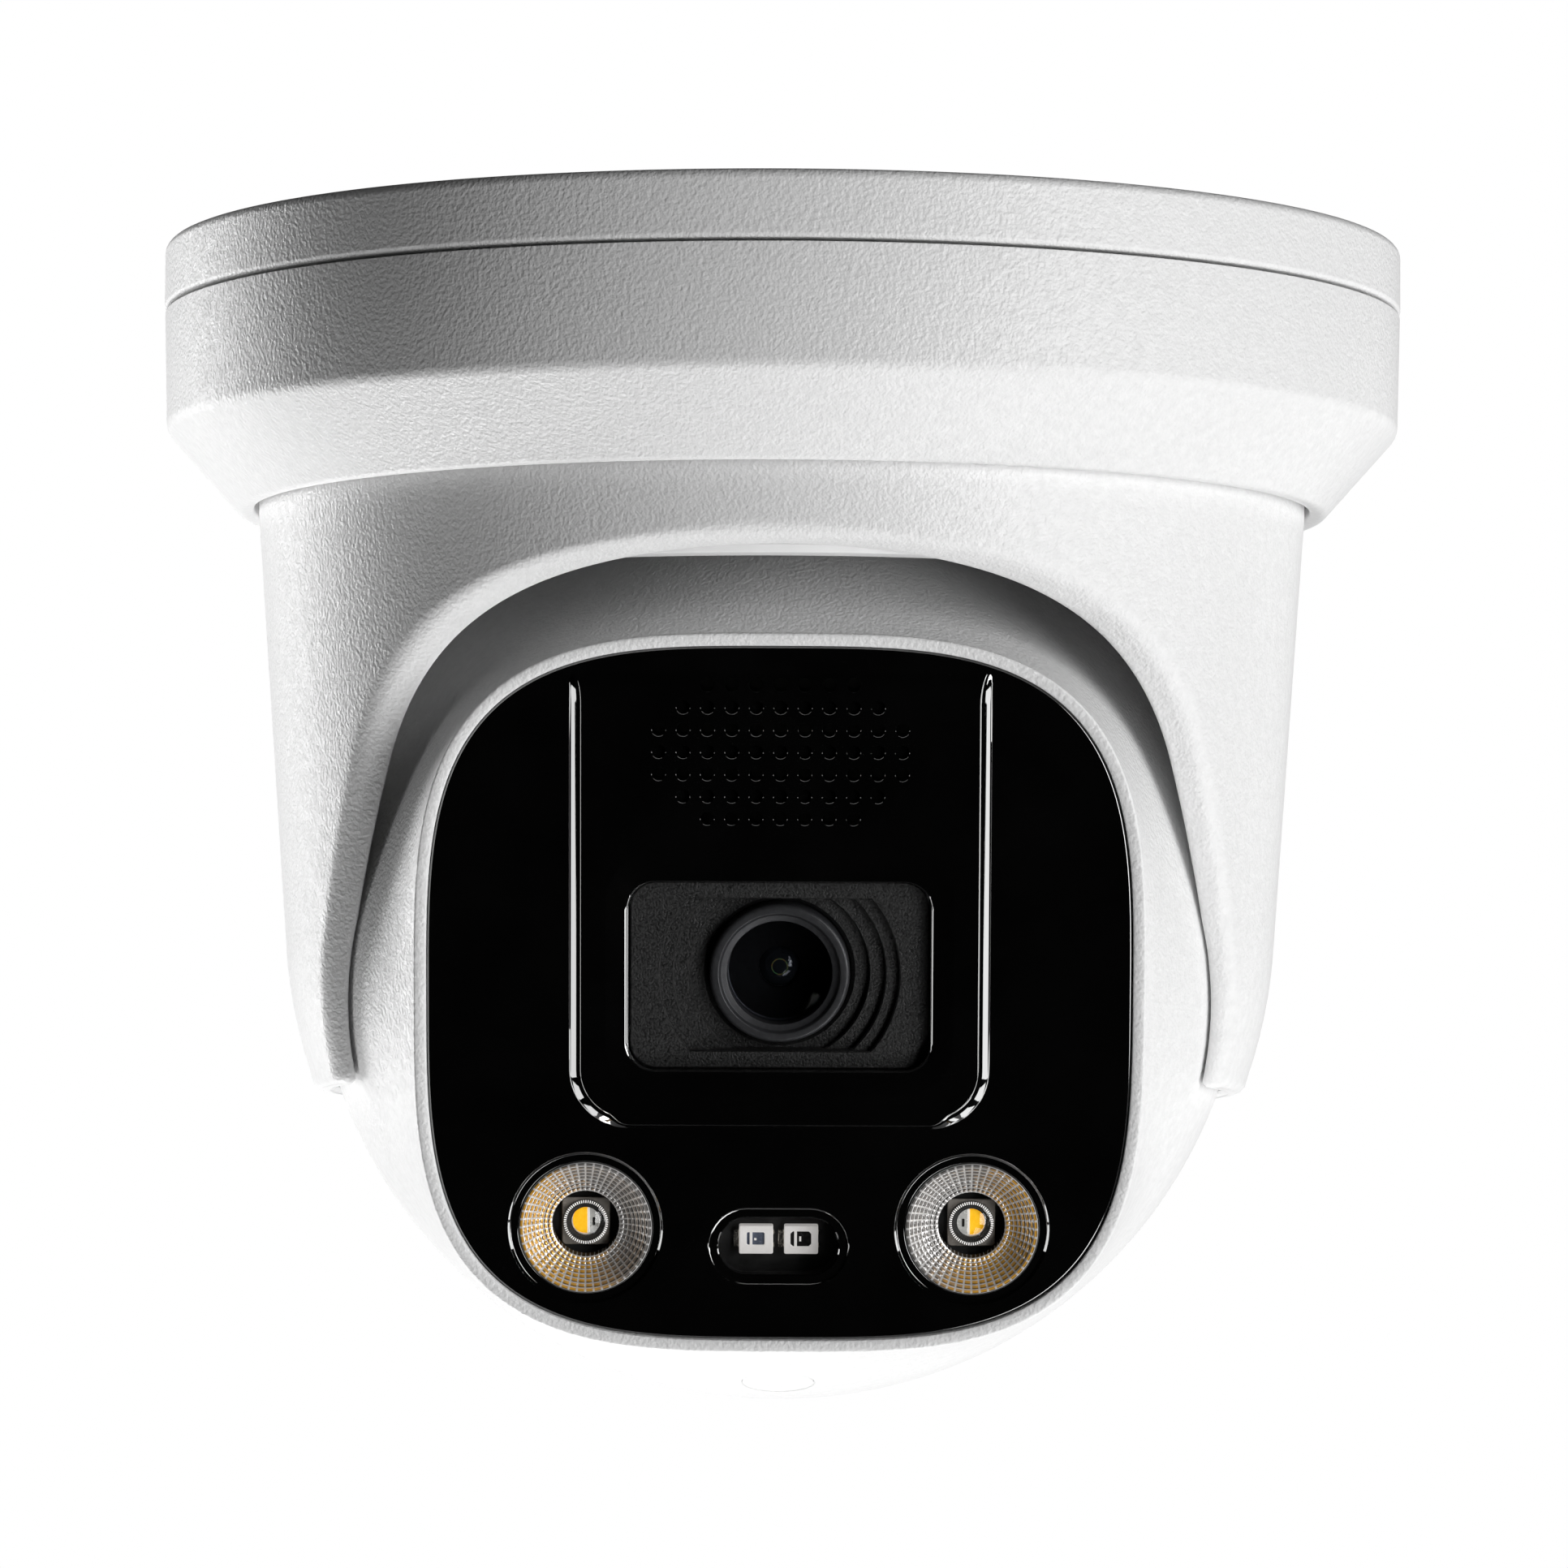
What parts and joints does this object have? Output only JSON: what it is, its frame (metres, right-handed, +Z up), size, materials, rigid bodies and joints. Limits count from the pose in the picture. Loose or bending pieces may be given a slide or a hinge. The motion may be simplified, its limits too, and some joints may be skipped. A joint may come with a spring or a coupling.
{
  "type": "ceiling turret security camera",
  "caption": "White ceiling camera: round base with trim ring, panning hood, and a ball head with a black face holding lens, lights and speaker.",
  "frame": {"origin": "centre of the base's ceiling face, which lies in the plane z = 0", "axes": "+Z up into the ceiling; the lens looks along -Y and 14 degrees down; +X to the right seen from the front"},
  "size_m": [0.1384, 0.1384, 0.1284],
  "materials": {
    "white_housing": "textured powder coat",
    "black_panel": "polished",
    "black_plastic": "fine spark texture",
    "white_plastic": "smooth",
    "grey_plastic": "smooth",
    "rubber": "matt",
    "clear_plastic": "polished",
    "optical_glass": "coated",
    "infrared_glass": "coated",
    "lens_metal": "black anodised",
    "steel_screw": "plated",
    "aluminium_plate": "plain",
    "brass_spacer": "plain",
    "circuit_board": "solder resist",
    "chip": "glass topped",
    "led_package": "moulded",
    "copper_coil": "enamelled wire"
  },
  "bodies": {
    "base": {"mounting_base": "white_housing", "cable_grommet": "rubber", "pan_washer": "white_plastic"},
    "trim": {"trim_ring": "white_housing", "trim_set_screw": "steel_screw"},
    "hood": {"hood_shell": "white_housing", "clamp_ring": "white_plastic", "clamp_ring_screws": "steel_screw", "friction_pad_left": "rubber", "friction_pad_right": "rubber"},
    "twist_ring": {"anti_twist_ring": "grey_plastic"},
    "head": {"front_shell": "white_housing", "rear_shell": "white_housing", "shell_seal": "rubber", "shell_screws": "steel_screw", "cable_gland": "rubber", "front_panel": "black_panel", "panel_seal": "rubber", "lens_window": "clear_plastic", "lens_bezel": "black_plastic", "lens_barrel": "lens_metal", "front_lens": "optical_glass", "inner_lens": "optical_glass", "lens_holder": "black_plastic", "image_sensor": "chip", "sensor_board": "circuit_board", "sensor_board_screws": "steel_screw", "board_spacers": "brass_spacer", "main_board": "circuit_board", "main_board_screws": "steel_screw", "filter_coil": "copper_coil", "led_board": "circuit_board", "led_board_screws": "steel_screw", "heat_spreader": "aluminium_plate", "light_optic_left": "clear_plastic", "light_optic_right": "clear_plastic", "light_led_left": "led_package", "light_led_right": "led_package", "alarm_window": "clear_plastic", "alarm_led_left": "led_package", "alarm_led_right": "led_package", "speaker_frame": "black_plastic", "speaker_cone": "black_plastic", "speaker_mesh": "black_plastic", "reset_switch": "black_plastic", "service_plug": "white_plastic"},
    "filter": {"filter_frame": "black_plastic", "infrared_filter": "infrared_glass", "clear_filter": "optical_glass"},
    "reset": {"reset_button": "black_plastic"}
  },
  "joints": [
    {"name": "trim_twist", "type": "hinge", "parent": "base", "child": "trim", "pos_m": [0, 0, 0], "axis": [0, 0, 1], "range_deg": [-30, 0]},
    {"name": "hood_pan", "type": "hinge", "parent": "base", "child": "hood", "pos_m": [0, 0, 0], "axis": [0, 0, 1], "range_deg": [-180, 180]},
    {"name": "head_tilt", "type": "hinge", "parent": "hood", "child": "twist_ring", "pos_m": [0, 0, -0.0766], "axis": [1, 0, 0], "range_deg": [-14, 61]},
    {"name": "head_roll", "type": "hinge", "parent": "twist_ring", "child": "head", "pos_m": [0, 0, -0.0766], "axis": [0, -0.9703, -0.2419], "range_deg": [-6, 6]},
    {"name": "filter_slide", "type": "slide", "parent": "head", "child": "filter", "axis": [1, 0, 0], "range_m": [0, 0.006]},
    {"name": "reset_press", "type": "slide", "parent": "head", "child": "reset", "axis": [0, 0.2419, 0.9703], "range_m": [0, 0.0004], "stiffness_N_per_m": 400, "springref_m": -0.0006}
  ]
}
